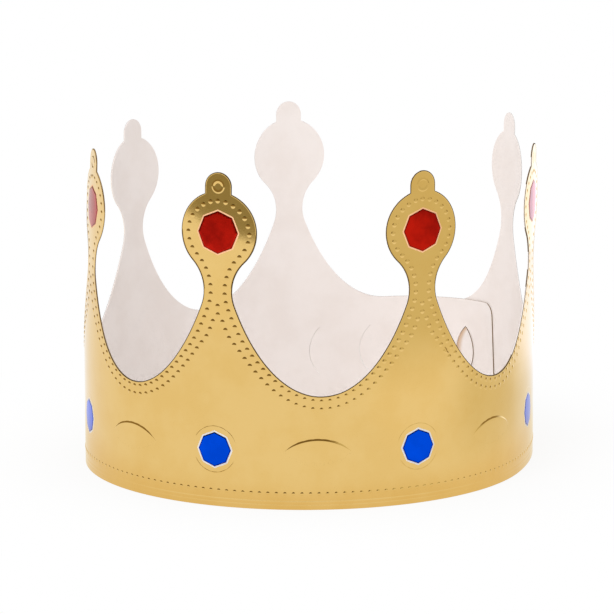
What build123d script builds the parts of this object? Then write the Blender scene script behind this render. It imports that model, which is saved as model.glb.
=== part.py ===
from build123d import *
import os
from math import asin, atan2, cos, degrees, hypot, pi, radians, sin, sqrt

os.makedirs("parts", exist_ok=True)

# A paper crown: one strip of gilt card, cut with seven round-headed points, bent into an egg-shaped
# loop and held by two crescent tongues that hook through each other's slits at the back right.
# Millimetres, +Z up, the front towards -Y. The origin is the middle of the plan at the rim.
# "along" is the distance along the card from the lock, counter-clockwise seen from above.

# The card and its loop
card = 0.4
layer_gap = 0.1
points = 7
pitch = 81.5
lock_to_first = 66.7
last_to_lock = 45.4
shoulder_ratio = 1.61
round_end_turn = radians(80.8)
small_end_turn = radians(34.1)
lock_heading = radians(60.9)

# The cut edge between the points
scallop_low = 44.5
scallop_half = 44.6
scallop_rise = 98.1
scallop_flat = 1.0
neck_half = 5.87
neck_round = 15.4
head_radius = 15.7
head_height = 107.1
tip_radius = 5.5
tip_height = 124.7

# How far each point's top leans out (+) or in (-), from the first point on
top_lean = [1.04, -0.13, -2.66, -1.90, 0.51, 1.61, 1.42]
bend_height = 50.0

# The two ends of the strip
tab_length = 99.9
tab_top_rise = 2.4
tab_low_rise = 2.1
tab_corner = 5.8
tab_step_end = 8.0
tab_step_start = 2.0
outer_end_length = 45.6
outer_end_corner = 2.0

# The crescent slits
slit_width = 0.25
slit_half = 10.2
slit_bulge = 4.6
slit_height = 21.9
slit_places = [-13.3, -35.4, -57.7]
eye_place = -80.0
eye_height = 23.8
eye_half = 10.7
eye_bulge = 5.35
tongue_clearance = 0.15
tongue_slope_half = 3.9
tongue_root_half = 5.0
tongue_root_depth = 0.5

# The pressed ornaments
relief = 0.2
relief_root = 0.05
ornament_shift = -1.55
ridge_width = 0.6
ring_radius = 9.1
button_radius = 2.7
marquise_half_length = 14.8
marquise_half_height = 5.3
marquise_height = 22.3
groove_height = 3.4
groove_width = 0.5
groove_depth = 0.12

# The gems
foil = 0.15
red_radius = 8.25
blue_radius = 6.8
blue_height = 22.4

# The plan: a round end, two shoulder arcs and a small end at the lock, each tangent to the next
loop = lock_to_first + (points - 1) * pitch + last_to_lock
tip_ratio = shoulder_ratio - (shoulder_ratio - 1) * sin(round_end_turn) / sin(small_end_turn)
round_share = pi - round_end_turn
shoulder_share = shoulder_ratio * (round_end_turn - small_end_turn)
round_radius = loop / 2 / (round_share + shoulder_share + tip_ratio * small_end_turn)
shoulder_radius = round_radius * shoulder_ratio
small_radius = round_radius * tip_ratio

shoulder_offset = round_radius - shoulder_radius
shoulder_x = shoulder_offset * cos(round_end_turn)
shoulder_y = shoulder_offset * sin(round_end_turn)
small_x = shoulder_x + (shoulder_radius - small_radius) * cos(small_end_turn)

top_height = tip_height + tip_radius
cell_half = pitch / 2


def turned(x, y, angle):
    """A plan point turned about the origin."""
    return (x * cos(angle) - y * sin(angle), x * sin(angle) + y * cos(angle))


def plan_arcs():
    """The plan's arcs in order, each as (along at its start, along at its end, radius, heading, centre)."""
    shoulder = (shoulder_radius, round_end_turn - small_end_turn)
    before = (*shoulder, turned(shoulder_x, -shoulder_y, lock_heading))
    after = (*shoulder, turned(shoulder_x, shoulder_y, lock_heading))
    small = (small_radius, 2 * small_end_turn, turned(small_x, 0, lock_heading))
    round_end = (round_radius, 2 * (pi - round_end_turn), (0.0, 0.0))

    along = -small_radius * small_end_turn - shoulder[0] * shoulder[1]
    heading = lock_heading - round_end_turn
    arcs = []
    for radius, turn, centre in (before, small, after, round_end, before, small):
        arcs.append((along, along + radius * turn, radius, heading, centre))
        along += radius * turn
        heading += turn
    return arcs


ARCS = plan_arcs()


def reach(direction):
    """How far the plan reaches from the round end's centre, in a direction given as an angle."""
    for start, end, radius, heading, centre in ARCS:
        turn = (direction - heading) % (2 * pi)
        if turn * radius <= end - start:
            return centre[0] * cos(direction) + centre[1] * sin(direction) + radius
    raise ValueError("the plan has a gap")


middle_x = (reach(0) - reach(pi)) / 2
middle_y = (reach(pi / 2) - reach(-pi / 2)) / 2


def heading_at(along):
    """The angle of the card's outward normal."""
    for start, end, radius, heading, centre in ARCS:
        if along <= end:
            return heading + (along - start) / radius
    raise ValueError("past the end of the strip")


def on_plan(along, inset):
    """A place on the loop, a distance inside the card's outer face."""
    for start, end, radius, heading, centre in ARCS:
        if along <= end:
            turn = heading + (along - start) / radius
            x = centre[0] + (radius - inset) * cos(turn) - middle_x
            y = centre[1] + (radius - inset) * sin(turn) - middle_y
            return Vector(x, y)
    raise ValueError("past the end of the strip")


def outward(along):
    """The card's outward direction."""
    return Vector(cos(heading_at(along)), sin(heading_at(along)))


def facing(along, height=0.0, lean=0.0):
    """A plane that faces out of the card, with its x along the card and its y up."""
    place = on_plan(along, 0) + outward(along) * lean
    return Plane(
        origin=(place.X, place.Y, height),
        x_dir=(-sin(heading_at(along)), cos(heading_at(along)), 0),
        z_dir=outward(along),
    )


def across(middle, along):
    """Where a place on the outer face lies, seen straight from outside the middle."""
    ahead = facing(middle).x_dir
    return (on_plan(along, 0) - on_plan(middle, 0)).dot(ahead)


def plan_line(start, end, inset):
    """The loop's own arcs between two places."""
    for arc_start, arc_end, radius, heading, centre in ARCS:
        low = max(start, arc_start)
        high = min(end, arc_end)
        if high - low > 1e-6:
            CenterArc(
                center=(centre[0] - middle_x, centre[1] - middle_y),
                radius=radius - inset,
                start_angle=degrees(heading + (low - arc_start) / radius),
                arc_size=degrees((high - low) / radius),
            )


def wall_section(start, end, outside, inside, height=0.0):
    """A closed strip of the plan between two insets."""
    with BuildSketch(Plane.XY.offset(height)) as section:
        with BuildLine():
            plan_line(start, end, outside)
            plan_line(start, end, inside)
            Line(on_plan(start, outside), on_plan(start, inside))
            Line(on_plan(end, outside), on_plan(end, inside))
        make_face()
    return section.sketch


def bent_wall(middle, half, outside, inside, lean):
    """A length of wall, upright up to a level bend line and leaning above it, mitred at the bend."""
    start = middle - half
    end = middle + half
    bend_line = Axis(facing(middle, bend_height).origin, facing(middle).x_dir)
    tilt = degrees(atan2(lean, top_height - bend_height))
    half_way = Vector(0, 0, 1).rotate(Axis((0, 0, 0), bend_line.direction), tilt / 2)
    bend = Plane(bend_line.position, x_dir=bend_line.direction, z_dir=half_way)
    with BuildPart() as upper:
        extrude(wall_section(start, end, outside, inside, bend_height - 1), amount=top_height - bend_height + 3)
    with BuildPart() as lower:
        extrude(wall_section(start, end, outside, inside), amount=bend_height + 1)
        split(bisect_by=bend, keep=Keep.BOTTOM)
    with BuildPart() as wall:
        add(upper.part.rotate(bend_line, tilt))
        split(bisect_by=bend, keep=Keep.TOP)
        add(lower.part)
    return wall.part


def scallop_join():
    """The ellipse angle where the neck's lower arc leaves the scallop, and the neck's height."""
    low, high = 0.0, pi / 2
    for step in range(50):
        angle = (low + high) / 2
        slope_x = cos(angle) / scallop_half
        slope_z = sin(angle) / scallop_rise
        size = hypot(slope_x, slope_z)
        gap = cell_half - scallop_half * cos(angle) + neck_round * slope_x / size - neck_half - neck_round
        if gap > 0:
            high = angle
        else:
            low = angle
    height = scallop_low + scallop_rise * (1 - sin(angle)) + neck_round * slope_z / size
    return angle, height


join_angle, neck_height = scallop_join()
neck_drop = head_height - neck_height
upper_round = (neck_half**2 + neck_drop**2 - head_radius**2) / 2 / (head_radius - neck_half)


def scallop_edge(middle, side):
    """The scallop's half ellipse from its short flat bottom up to the neck, bent round with the card."""
    places = [(across(middle, middle + side * (cell_half - scallop_flat)), scallop_low)]
    for step in range(1, 8):
        angle = pi / 2 + (join_angle - pi / 2) * step / 7
        along = middle + side * (cell_half - scallop_half * cos(angle))
        height = scallop_low + scallop_rise * (1 - sin(angle))
        places.append((across(middle, along), height))
    return places


def point_half_outline(middle, side):
    """One side of a point's cut edge: scallop, neck, head and tip."""
    edge = scallop_edge(middle, side)
    Spline(*edge, tangents=[(-side, 0), (-side * 0.33, 1)])
    ThreePointArc(
        edge[-1],
        (side * (neck_half + neck_round - neck_round * cos(0.15)), neck_height - neck_round * sin(0.15)),
        (side * neck_half, neck_height),
    )
    head_x = head_radius * (neck_half + upper_round) / (head_radius + upper_round)
    head_z = head_height - head_radius * neck_drop / (head_radius + upper_round)
    shoulder_z = head_height + sqrt(head_radius**2 - tip_radius**2)
    bend = atan2(neck_drop, neck_half + upper_round) / 2
    ThreePointArc(
        (side * neck_half, neck_height),
        (side * (neck_half + upper_round - upper_round * cos(bend)), neck_height + upper_round * sin(bend)),
        (side * head_x, head_z),
    )
    ThreePointArc((side * head_x, head_z), (side * head_radius, head_height), (side * tip_radius, shoulder_z))
    Line((side * tip_radius, shoulder_z), (side * tip_radius, tip_height))


def point_outline(middle):
    """A point seen from outside, with the band below it left uncut."""
    left = scallop_edge(middle, -1)[0]
    right = scallop_edge(middle, 1)[0]
    with BuildSketch(facing(middle).offset(-cell_half)) as outline:
        with BuildLine():
            point_half_outline(middle, -1)
            point_half_outline(middle, 1)
            ThreePointArc((-tip_radius, tip_height), (0, top_height), (tip_radius, tip_height))
            Polyline(left, (-pitch, scallop_low), (-pitch, -card), (pitch, -card), (pitch, scallop_low), right)
        make_face()
    return outline.sketch


def crown_point(index):
    """One point with its stretch of band."""
    middle = lock_to_first + index * pitch
    with BuildPart() as point:
        add(bent_wall(middle, cell_half, 0, card, top_lean[index]))
        extrude(point_outline(middle), amount=pitch, dir=outward(middle), mode=Mode.INTERSECT)
    return point.part


crown_points = [crown_point(index) for index in range(points)]


def pressed(middle, half, lean, outside, profile):
    """A flat shape wrapped on the outer face: the wall between two insets, cut to the shape."""
    with BuildPart() as shape:
        if lean is None:
            extrude(wall_section(middle - half, middle + half, outside, relief_root), amount=scallop_low)
        else:
            add(bent_wall(middle, half, outside, relief_root, lean))
        extrude(profile, amount=2 * half, dir=outward(middle), mode=Mode.INTERSECT)
    return shape.part


def ring_profile(middle, radius, height):
    """A narrow ring, seen from outside."""
    with BuildSketch(facing(middle, height).offset(-1.5 * radius)) as profile:
        Circle(radius + ridge_width / 2)
        Circle(radius - ridge_width / 2, mode=Mode.SUBTRACT)
    return profile.sketch


def button_profile(middle):
    """A round button at the top of a point, seen from outside."""
    with BuildSketch(facing(middle, tip_height).offset(-1.5 * button_radius)) as profile:
        Circle(button_radius)
    return profile.sketch


def lens_profile(plane, half_height, bulge):
    """A lens between two upright arcs that meet at top and bottom."""
    with BuildSketch(plane) as profile:
        with BuildLine():
            ThreePointArc((0, -half_height), (-bulge, 0), (0, half_height))
            ThreePointArc((0, -half_height), (bulge, 0), (0, half_height))
        make_face()
    return profile.sketch


def slit_profile(along):
    """A crescent slit of the blade's width, seen from outside."""
    with BuildSketch(facing(along, slit_height).offset(-slit_half)) as profile:
        with BuildLine():
            for x in (0, -slit_width):
                ThreePointArc((x, -slit_half), (x + slit_bulge, 0), (x, slit_half))
            for y in (-slit_half, slit_half):
                Line((0, y), (-slit_width, y))
        make_face()
    return profile.sketch


def marquise_profile(middle):
    """A pointed oval lying along the band."""
    with BuildSketch(facing(middle, marquise_height).offset(-marquise_half_length)) as profile:
        with BuildLine():
            ThreePointArc((-marquise_half_length, 0), (0, marquise_half_height), (marquise_half_length, 0))
            ThreePointArc((-marquise_half_length, 0), (0, -marquise_half_height), (marquise_half_length, 0))
        make_face()
        offset(amount=-ridge_width, mode=Mode.SUBTRACT)
    return profile.sketch


def gem(middle, radius, height, lean):
    """A foil octagon lying face to face on the card, one corner up."""
    with BuildPart() as octagon:
        if lean is None:
            extrude(wall_section(middle - radius, middle + radius, -foil, 0), amount=scallop_low)
        else:
            add(bent_wall(middle, radius, -foil, 0, lean))
        with BuildSketch(facing(middle, height).offset(-radius)) as outline:
            RegularPolygon(radius=radius, side_count=8)
        extrude(amount=2 * radius, dir=outward(middle), mode=Mode.INTERSECT)
    return octagon.part


middles = [lock_to_first + index * pitch for index in range(points)]
rings = [
    pressed(middle + ornament_shift, 1.5 * ring_radius, None, -relief,
            ring_profile(middle + ornament_shift, ring_radius, blue_height))
    for middle in middles
]
buttons = [
    pressed(middle, 1.5 * button_radius, lean, -relief, button_profile(middle))
    for middle, lean in zip(middles, top_lean)
]
marquises = [
    pressed(middle + cell_half + ornament_shift, marquise_half_length, None, -relief,
            marquise_profile(middle + cell_half + ornament_shift))
    for middle in middles[:-1]
]


# The inner end of the strip: it steps inside the outer end, then rises a little towards its tip
tab_end = middles[0] - tab_length
tab_start = middles[0] - cell_half
tab_middle = (tab_end + tab_start) / 2
tab_inset = card + layer_gap

with BuildPart() as tab:
    with BuildSketch() as section:
        with BuildLine():
            for depth in (0, card):
                plan_line(tab_end, tab_step_start, tab_inset + depth)
                Line(on_plan(tab_step_start, tab_inset + depth), on_plan(tab_step_end, depth))
                plan_line(tab_step_end, tab_start, depth)
            Line(on_plan(tab_end, tab_inset), on_plan(tab_end, tab_inset + card))
            Line(on_plan(tab_start, 0), on_plan(tab_start, card))
        make_face()
    extrude(amount=scallop_low + 2 * tab_top_rise)
    far = across(tab_middle, tab_end)
    near = across(tab_middle, tab_start)
    with BuildSketch(facing(tab_middle).offset(-cell_half)) as profile:
        with BuildLine():
            Polyline((near, scallop_low), (far, scallop_low + tab_top_rise), (far, tab_low_rise), (near, 0))
            Polyline((near, scallop_low), (pitch, scallop_low), (pitch, 0), (near, 0))
        make_face()
        fillet(profile.vertices().sort_by(Axis.X)[:2], tab_corner)
    extrude(amount=pitch, dir=outward(tab_middle), mode=Mode.INTERSECT)

# The outer end of the strip, a little past the lock
outer_start = middles[-1] + cell_half
outer_end_place = middles[-1] + outer_end_length

with BuildPart() as outer_end:
    extrude(wall_section(outer_start, outer_end_place, 0, card), amount=scallop_low)
    end_face = outer_end.faces().sort_by_distance(on_plan(outer_end_place, card / 2))[0]
    fillet(end_face.edges().group_by(SortBy.LENGTH)[0], outer_end_corner)

# The lock
eye_along = middles[0] + eye_place


def tongue(side, root_inset, free_inset):
    """A crescent tongue: rooted in its own layer on one side, its free edge past the other layer."""
    root = eye_along + side * (eye_bulge + tongue_root_depth)
    bend = eye_along + side * tongue_slope_half
    rest = eye_along - side * tongue_slope_half
    free = eye_along - side * eye_bulge
    with BuildPart() as piece:
        with BuildSketch() as section:
            with BuildLine():
                for depth in (0, card):
                    plan_line(min(root, bend), max(root, bend), root_inset + depth)
                    Line(on_plan(bend, root_inset + depth), on_plan(rest, free_inset + depth))
                    plan_line(min(rest, free), max(rest, free), free_inset + depth)
                Line(on_plan(root, root_inset), on_plan(root, root_inset + card))
                Line(on_plan(free, free_inset), on_plan(free, free_inset + card))
            make_face()
        extrude(amount=eye_height + eye_half)
        bulge = eye_bulge - tongue_clearance
        with BuildSketch(facing(eye_along, eye_height).offset(-eye_half)) as outline:
            add(lens_profile(Plane.XY, eye_half - 3 * tongue_clearance, bulge))
            with Locations((side * eye_bulge / 2, 0)):
                Rectangle(eye_bulge + 4 * tongue_root_depth, 2 * tongue_root_half)
        extrude(amount=2 * eye_half, dir=outward(eye_along), mode=Mode.INTERSECT)
    return piece.part


outer_tongue = tongue(1, 0, 2 * tab_inset)
inner_tongue = tongue(-1, tab_inset, -tab_inset)
eye_cut = lens_profile(facing(eye_along, eye_height).offset(-eye_half), eye_half, eye_bulge)

slits = [middles[0] + place for place in slit_places]

# The first slit runs on through the ring beside it
with BuildPart() as cut_ring:
    add(rings[0])
    extrude(slit_profile(slits[0]), amount=2 * slit_half, dir=outward(slits[0]), mode=Mode.SUBTRACT)

with BuildPart() as crown_band:
    for piece in (*crown_points, tab.part, outer_end.part):
        add(piece)
    extrude(eye_cut, amount=2 * eye_half, dir=outward(eye_along), mode=Mode.SUBTRACT)
    for along in slits:
        extrude(slit_profile(along), amount=2 * slit_half, dir=outward(along), mode=Mode.SUBTRACT)
    groove = wall_section(tab_start, outer_end_place, -card, groove_depth, groove_height - groove_width / 2)
    extrude(groove, amount=groove_width, mode=Mode.SUBTRACT)
    for piece in (cut_ring.part, *rings[1:], *marquises, *buttons, outer_tongue, inner_tongue):
        add(piece)

crown_band.part.label = "crown_band"
export_step(crown_band.part, "parts/crown_band.step")

for number, (middle, lean) in enumerate(zip(middles, top_lean), start=1):
    red_gem = gem(middle, red_radius, head_height, lean)
    red_gem.label = f"red_gem_{number}"
    export_step(red_gem, f"parts/red_gem_{number}.step")
    blue_gem = gem(middle + ornament_shift, blue_radius, blue_height, None)
    blue_gem.label = f"blue_gem_{number}"
    export_step(blue_gem, f"parts/blue_gem_{number}.step")
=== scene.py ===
"""A paper party crown of gilt card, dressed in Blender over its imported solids.

The card is laid out flat, cut, and then bent round the same egg-shaped plan as the solids. The
pressed dots, rings, marquises and buttons and the stuck-on foil octagons follow that bend.
Flat places are in millimetres: x along the card from the lock, y inwards from the gilt face, z up.
"""
import logging
from dataclasses import dataclass, field
from enum import Enum
from math import asin, atan2, cos, hypot, pi, radians, sin, sqrt
from typing import Callable

import bmesh
import bpy
from mathutils import Matrix, Vector


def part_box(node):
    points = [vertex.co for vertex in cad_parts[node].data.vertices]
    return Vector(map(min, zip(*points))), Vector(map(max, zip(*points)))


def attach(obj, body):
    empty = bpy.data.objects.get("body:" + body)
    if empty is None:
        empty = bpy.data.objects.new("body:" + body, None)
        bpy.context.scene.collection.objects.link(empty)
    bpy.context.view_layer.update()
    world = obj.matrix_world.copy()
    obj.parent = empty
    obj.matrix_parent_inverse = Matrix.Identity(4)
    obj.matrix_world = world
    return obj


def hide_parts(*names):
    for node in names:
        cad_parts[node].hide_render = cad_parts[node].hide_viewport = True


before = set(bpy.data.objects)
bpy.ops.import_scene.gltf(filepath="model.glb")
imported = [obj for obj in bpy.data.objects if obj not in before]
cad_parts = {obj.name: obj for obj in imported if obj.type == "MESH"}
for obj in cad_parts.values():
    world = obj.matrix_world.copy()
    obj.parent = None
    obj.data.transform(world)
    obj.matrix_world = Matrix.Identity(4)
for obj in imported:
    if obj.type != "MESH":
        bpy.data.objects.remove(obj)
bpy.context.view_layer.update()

MM = 0.001
log = logging.getLogger("paper_crown")

Flat = tuple[float, float]
Steps = tuple[int, int, int]
Tone = tuple[float, float, float, float]


class Side(Enum):
    """The two ways along the card from the middle of a point."""

    LEFT = -1
    RIGHT = 1


class Face(Enum):
    """The material slots of the card."""

    GILT = 0
    BOARD = 1
    EDGE = 2


def smooth(value: float) -> float:
    """An even ramp from 0 to 1 with a soft start and end."""
    value = min(max(value, 0.0), 1.0)
    return value * value * (3 - 2 * value)


def mix(low: float, high: float, share: float) -> float:
    """The value a share of the way from low to high."""
    return low + (high - low) * share


# ---------------------------------------------------------------- the bent plan


@dataclass(frozen=True)
class PlanArc:
    """One arc of the plan, from a place along the card to another."""

    start: float
    end: float
    radius: float
    heading: float
    centre: Flat


@dataclass
class StripPlan:
    """The egg-shaped loop of the card and the lean of each point, in millimetres."""

    points: int = 7
    pitch: float = 81.5
    lock_to_first: float = 66.7
    last_to_lock: float = 45.4
    outer_end: float = 45.6
    ornament_shift: float = -1.55
    ornament_height: float = 22.4
    shoulder_ratio: float = 1.61
    round_end_turn: float = radians(80.8)
    small_end_turn: float = radians(34.1)
    lock_heading: float = radians(60.9)
    top_lean: tuple[float, ...] = (1.04, -0.13, -2.66, -1.90, 0.51, 1.61, 1.42)
    curled: tuple[int, ...] = (3,)
    lean_start: float = 42.0
    lean_full: float = 58.0
    bend_height: float = 50.0
    top_height: float = 130.2
    arcs: list[PlanArc] = field(default_factory=list)
    middle: Flat = (0.0, 0.0)
    skin: float = 0.08
    low: Vector = field(default_factory=lambda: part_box("crown_band")[0])
    high: Vector = field(default_factory=lambda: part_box("crown_band")[1])

    def __post_init__(self) -> None:
        """Work out the arcs and the middle of the plan."""
        round_turn, small_turn, ratio = self.round_end_turn, self.small_end_turn, self.shoulder_ratio
        small_ratio = ratio - (ratio - 1) * sin(round_turn) / sin(small_turn)
        share = (pi - round_turn) + ratio * (round_turn - small_turn) + small_ratio * small_turn
        round_radius = self.loop() / 2 / share
        shoulder_radius = round_radius * ratio
        small_radius = round_radius * small_ratio
        shoulder_x = (round_radius - shoulder_radius) * cos(round_turn)
        shoulder_y = (round_radius - shoulder_radius) * sin(round_turn)
        small_x = shoulder_x + (shoulder_radius - small_radius) * cos(small_turn)
        shoulder = round_turn - small_turn
        before = (shoulder_radius, shoulder, self.turned(shoulder_x, -shoulder_y))
        after = (shoulder_radius, shoulder, self.turned(shoulder_x, shoulder_y))
        small = (small_radius, 2 * small_turn, self.turned(small_x, 0.0))
        round_end = (round_radius, 2 * (pi - round_turn), (0.0, 0.0))
        along = -small_radius * small_turn - shoulder_radius * shoulder
        heading = self.lock_heading - round_turn
        for radius, turn, centre in (before, small, after, round_end, before, small):
            self.arcs.append(PlanArc(along, along + radius * turn, radius, heading, centre))
            along += radius * turn
            heading += turn
        self.middle = (
            (self.reach(0.0) - self.reach(pi)) / 2,
            (self.reach(pi / 2) - self.reach(-pi / 2)) / 2,
        )

    def turned(self, x: float, y: float) -> Flat:
        """A plan point turned by the lock's heading."""
        return (
            x * cos(self.lock_heading) - y * sin(self.lock_heading),
            x * sin(self.lock_heading) + y * cos(self.lock_heading),
        )

    def reach(self, direction: float) -> float:
        """How far the plan reaches from the round end's centre.

        Args:
            direction: the angle looked along.

        Returns:
            The reach in millimetres.
        """
        for arc in self.arcs:
            if ((direction - arc.heading) % (2 * pi)) * arc.radius <= arc.end - arc.start:
                return arc.centre[0] * cos(direction) + arc.centre[1] * sin(direction) + arc.radius
        raise ValueError("the plan has a gap")

    def loop(self) -> float:
        """The length of the closed loop."""
        return self.first_to(self.points - 1) + self.last_to_lock

    def first_to(self, index: int) -> float:
        """The place along the card of a point's middle."""
        return self.lock_to_first + index * self.pitch

    def arc_at(self, along: float) -> PlanArc:
        """The arc that carries a place along the card."""
        for arc in self.arcs:
            if along <= arc.end:
                return arc
        return self.arcs[-1]

    def heading_at(self, along: float) -> float:
        """The angle of the card's outward normal at a place along it."""
        arc = self.arc_at(along)
        return arc.heading + (along - arc.start) / arc.radius

    def lean_at(self, index: int, height: float) -> float:
        """How far a point leans out at a height, bent softly round the bend line."""
        slope = self.top_lean[index] / (self.top_height - self.bend_height)
        run = self.lean_full - self.lean_start
        if height <= self.lean_start:
            return 0.0
        if index in self.curled:
            share = (height - self.lean_start) / (self.top_height - self.lean_start)
            return self.top_lean[index] * share**2
        if height >= self.lean_full:
            return slope * (height - self.bend_height)
        return slope * (height - self.lean_start) ** 2 / (2 * run)

    def bend(self, along: float, depth: float, height: float) -> Vector:
        """Put a flat place on the crown.

        Args:
            along: millimetres along the card from the lock.
            depth: millimetres in from the gilt face.
            height: millimetres up from the rim.

        Returns:
            The place in metres.
        """
        arc, turn = self.arc_at(along), self.heading_at(along)
        radius = arc.radius - depth - self.skin
        x = arc.centre[0] + radius * cos(turn) - self.middle[0]
        y = arc.centre[1] + radius * sin(turn) - self.middle[1]
        index = min(max(round((along - self.lock_to_first) / self.pitch), 0), self.points - 1)
        lean = self.lean_at(index, height)
        out = self.heading_at(self.first_to(index))
        place = ((x + lean * cos(out)) * MM, (y + lean * sin(out)) * MM, height * MM)
        return Vector(min(max(value, low), high) for value, low, high in zip(place, self.low, self.high))

    def bend_mesh(self, bm: bmesh.types.BMesh) -> None:
        """Bend a flat mesh round the plan, in place."""
        for vert in bm.verts:
            vert.co = self.bend(vert.co.x, vert.co.y, vert.co.z)


# ---------------------------------------------------------------- the cut edge


@dataclass
class PointShape:
    """The cut outline of one point of the crown, flat, in millimetres."""

    cell_half: float = 40.75
    scallop_low: float = 44.5
    scallop_half: float = 44.6
    scallop_rise: float = 98.1
    neck_half: float = 5.87
    neck_round: float = 15.4
    head_radius: float = 15.7
    head_height: float = 107.1
    tip_radius: float = 5.5
    tip_height: float = 124.7
    join_angle: float = 0.0
    neck_height: float = 0.0

    def __post_init__(self) -> None:
        """Find where the neck's arc leaves the scallop."""
        low, high = 0.0, pi / 2
        for _ in range(50):
            angle = (low + high) / 2
            slope_x, slope_z = cos(angle) / self.scallop_half, sin(angle) / self.scallop_rise
            size = hypot(slope_x, slope_z)
            gap = self.cell_half - self.scallop_half * cos(angle)
            gap += self.neck_round * slope_x / size - self.neck_half - self.neck_round
            low, high = (low, angle) if gap > 0 else (angle, high)
        self.join_angle = angle
        rise = self.scallop_rise * (1 - sin(angle)) + self.neck_round * slope_z / size
        self.neck_height = self.scallop_low + rise

    def upper_round(self) -> float:
        """The radius of the arc between the neck and the head."""
        drop = self.head_height - self.neck_height
        return (self.neck_half**2 + drop**2 - self.head_radius**2) / 2 / (self.head_radius - self.neck_half)

    def scallop(self, steps: int) -> list[Flat]:
        """Half-width and height up the scallop, from its lowest place to the neck."""
        places = []
        for step in range(steps + 1):
            angle = pi / 2 + (self.join_angle - pi / 2) * step / steps
            wide = self.cell_half - self.scallop_half * cos(angle)
            places.append((wide, self.scallop_low + self.scallop_rise * (1 - sin(angle))))
        return places

    def neck(self, steps: int) -> list[Flat]:
        """Half-width and height up both arcs of the neck, without its first place."""
        start_wide, start_high = self.scallop(1)[-1]
        centre = self.neck_half + self.neck_round
        low = asin((self.neck_height - start_high) / self.neck_round)
        places = [
            (centre - self.neck_round * cos(low * (1 - step / steps)),
             self.neck_height - self.neck_round * sin(low * (1 - step / steps)))
            for step in range(1, steps + 1)
        ]
        upper = self.upper_round()
        bend = atan2(self.head_height - self.neck_height, self.neck_half + upper)
        for step in range(1, 2 * steps + 1):
            angle = bend * step / (2 * steps)
            wide = self.neck_half + upper - upper * cos(angle)
            places.append((wide, self.neck_height + upper * sin(angle)))
        return places

    def head(self, steps: int, to_top: bool = False) -> list[Flat]:
        """Half-width and height round the head, without its first place.

        Args:
            steps: how many places to give.
            to_top: go on under the tip to the middle of the head's own circle.

        Returns:
            The places, upwards.
        """
        wide, high = self.neck(1)[-1]
        low = atan2(high - self.head_height, wide)
        top = pi / 2 if to_top else atan2(sqrt(self.head_radius**2 - self.tip_radius**2), self.tip_radius)
        return [
            (self.head_radius * cos(mix(low, top, step / steps)),
             self.head_height + self.head_radius * sin(mix(low, top, step / steps)))
            for step in range(1, steps + 1)
        ]

    def tip(self, steps: int) -> list[Flat]:
        """Half-width and height round the tip, without its first place."""
        places = [(self.tip_radius, self.tip_height)]
        for step in range(1, steps + 1):
            angle = pi / 2 * step / steps
            places.append((self.tip_radius * cos(angle), self.tip_height + self.tip_radius * sin(angle)))
        return places

    def outline(self) -> list[Flat]:
        """The whole half outline from the scallop's lowest place to the top of the tip."""
        return self.scallop(26) + self.neck(6) + self.head(26) + self.tip(12)


# ---------------------------------------------------------------- meshes from flat shapes


def linked(name: str, data: bpy.types.ID) -> bpy.types.Object:
    """A new object of some data, linked to the scene."""
    item = bpy.data.objects.new(name, data)
    bpy.context.scene.collection.objects.link(item)
    return item


def mesh_of(name: str, bm: bmesh.types.BMesh) -> bpy.types.Mesh:
    """A mesh written from a bmesh, which is freed."""
    mesh = bpy.data.meshes.new(name)
    bm.to_mesh(mesh)
    bm.free()
    return mesh


def repaint(
    bm: bmesh.types.BMesh, slot: int, chosen: Callable[[bmesh.types.BMFace, Vector], bool]
) -> None:
    """Give some faces another material slot.

    Args:
        bm: the mesh.
        slot: the new slot.
        chosen: tells from a face and its middle whether it changes.
    """
    bm.normal_update()
    for face in bm.faces:
        if chosen(face, face.calc_center_median()):
            face.material_index = slot


def finish_piece(
    name: str,
    bm: bmesh.types.BMesh,
    materials: list[bpy.types.Material],
    sharp: float = radians(35),
) -> bpy.types.Object:
    """Make an object of a bent mesh, smooth shaded with its folds kept sharp.

    Args:
        name: the piece's name.
        bm: its mesh, in metres, which is freed.
        materials: its materials, in slot order.
        sharp: the angle past which an edge stays sharp.

    Returns:
        The object, linked to the scene.
    """
    for edge in bm.edges:
        edge.smooth = not (len(edge.link_faces) == 2 and edge.calc_face_angle(0.0) > sharp)
    for face in bm.faces:
        face.smooth = True
    mesh = mesh_of(name, bm)
    for material in materials:
        mesh.materials.append(material)
    return linked(name, mesh)


def shaped_grid(
    bm: bmesh.types.BMesh, columns: int, rows: int, place: Callable[[int, int], Vector]
) -> list[bmesh.types.BMVert]:
    """Lay a grid and move each of its corners to its place.

    Args:
        bm: the mesh to add to.
        columns: how many faces the grid is wide.
        rows: how many faces it is high.
        place: gives the place of a column and a row, counted from 0.

    Returns:
        The grid's vertices.
    """
    verts = bmesh.ops.create_grid(bm, x_segments=columns, y_segments=rows, size=1.0)["verts"]
    for vert in verts:
        column = round((vert.co.x + 1) / 2 * columns)
        row = round((vert.co.y + 1) / 2 * rows)
        vert.co = place(column, row)
    return verts


def thicken(bm: bmesh.types.BMesh, depth: float) -> None:
    """Give an open flat sheet its thickness inwards, and point its faces out."""
    faces = bmesh.ops.extrude_face_region(bm, geom=bm.faces[:], use_keep_orig=True)["geom"]
    moved = [item for item in faces if isinstance(item, bmesh.types.BMVert)]
    bmesh.ops.translate(bm, verts=moved, vec=(0, depth, 0))
    bmesh.ops.recalc_face_normals(bm, faces=bm.faces[:])


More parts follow.
